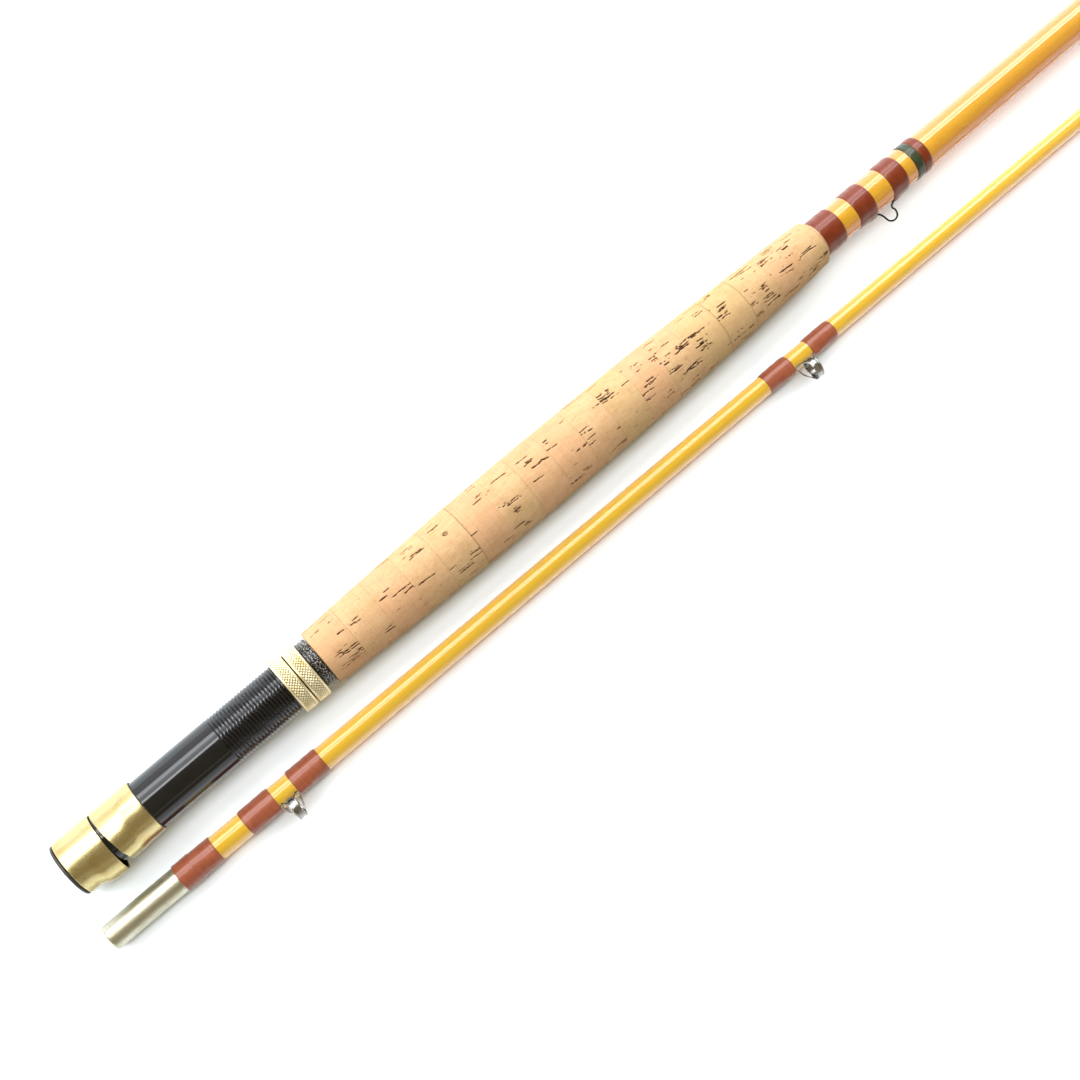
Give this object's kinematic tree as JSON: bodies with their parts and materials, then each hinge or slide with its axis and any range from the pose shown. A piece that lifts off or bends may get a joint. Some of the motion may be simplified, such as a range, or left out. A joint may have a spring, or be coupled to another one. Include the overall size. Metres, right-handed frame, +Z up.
{
  "type": "two-piece fly rod",
  "caption": "Glass fly rod taken apart into two sections, with a cork grip and a reel seat behind the grip, its hood and lock rings sliding on the barrel.",
  "frame": {"origin": "middle of the butt end's flat face, on the butt section's axis", "axes": "+X along the butt section from butt to tip, +Z up from the surface that the rod lies on, and the tip section on the -Y side"},
  "size_m": [1.2377, 0.0534, 0.0263],
  "materials": {
    "cork": "sanded cork rings with dark pits",
    "amber_glass": "glossy translucent amber glass fibre",
    "brown_thread": "thread under gloss varnish",
    "green_thread": "thread under gloss varnish",
    "pale_gold": "polished and anodised pale gold",
    "black_anodised": "gloss black anodised",
    "nickel_silver": "polished, a little tarnished",
    "guide_steel": "polished",
    "black_wire": "satin black",
    "arbor_plastic": "matte"
  },
  "bodies": {
    "butt_section": {"butt_blank": "amber_glass", "butt_cap_hood": "pale_gold", "butt_plate": "black_anodised", "cork_ring_01": "cork", "cork_ring_02": "cork", "cork_ring_03": "cork", "cork_ring_04": "cork", "cork_ring_05": "cork", "cork_ring_06": "cork", "cork_ring_07": "cork", "cork_ring_08": "cork", "cork_ring_09": "cork", "cork_ring_10": "cork", "cork_ring_11": "cork", "cork_ring_12": "cork", "cork_ring_13": "cork", "cork_ring_14": "cork", "cork_ring_15": "cork", "cork_ring_16": "cork", "cork_ring_17": "cork", "cork_ring_18": "cork", "female_ferrule": "nickel_silver", "female_ferrule_wrap": "brown_thread", "ferrule_water_dam": "nickel_silver", "grip_wrap": "brown_thread", "hook_keeper": "black_wire", "keeper_wrap_front": "brown_thread", "keeper_wrap_rear": "brown_thread", "reel_seat_barrel": "black_anodised", "seat_arbor_front": "arbor_plastic", "seat_arbor_rear": "arbor_plastic", "stripping_guide_frame": "guide_steel", "stripping_guide_ring": "guide_steel", "stripping_guide_wrap_front": "brown_thread", "stripping_guide_wrap_rear": "brown_thread", "trim_wrap_brown": "brown_thread", "trim_wrap_green": "green_thread"},
    "sliding_hood": {"sliding_hood": "pale_gold"},
    "lower_lock_ring": {"lower_lock_ring": "pale_gold"},
    "upper_lock_ring": {"upper_lock_ring": "pale_gold"},
    "tip_section": {"guide_1_frame": "guide_steel", "guide_1_ring": "guide_steel", "guide_1_wrap_front": "brown_thread", "guide_1_wrap_rear": "brown_thread", "guide_2_frame": "guide_steel", "guide_2_ring": "guide_steel", "guide_2_wrap_front": "brown_thread", "guide_2_wrap_rear": "brown_thread", "guide_3": "guide_steel", "guide_4": "guide_steel", "guide_5": "guide_steel", "guide_6": "guide_steel", "guide_7": "guide_steel", "male_ferrule": "nickel_silver", "male_ferrule_wrap": "brown_thread", "tip_blank": "amber_glass", "tip_top_ring": "guide_steel", "tip_top_tube": "guide_steel", "tip_top_wrap": "brown_thread"}
  },
  "joints": [
    {"name": "hood_slide", "type": "slide", "parent": "butt_section", "child": "sliding_hood", "axis": [1, 0, 0], "range_m": [0, 0.045]},
    {"name": "lower_lock_ring_slide", "type": "slide", "parent": "butt_section", "child": "lower_lock_ring", "axis": [1, 0, 0], "range_m": [-0.0125, 0.004]},
    {"name": "upper_lock_ring_slide", "type": "slide", "parent": "butt_section", "child": "upper_lock_ring", "axis": [1, 0, 0], "range_m": [-0.0125, 0.004]},
    {"name": "tip_section_slide", "type": "slide", "parent": "butt_section", "child": "tip_section", "axis": [1, 0, 0], "range_m": [0, 1.25]}
  ],
  "couplings": [
    {"joint": "upper_lock_ring_slide", "follows": "lower_lock_ring_slide", "ratio": 1}
  ]
}
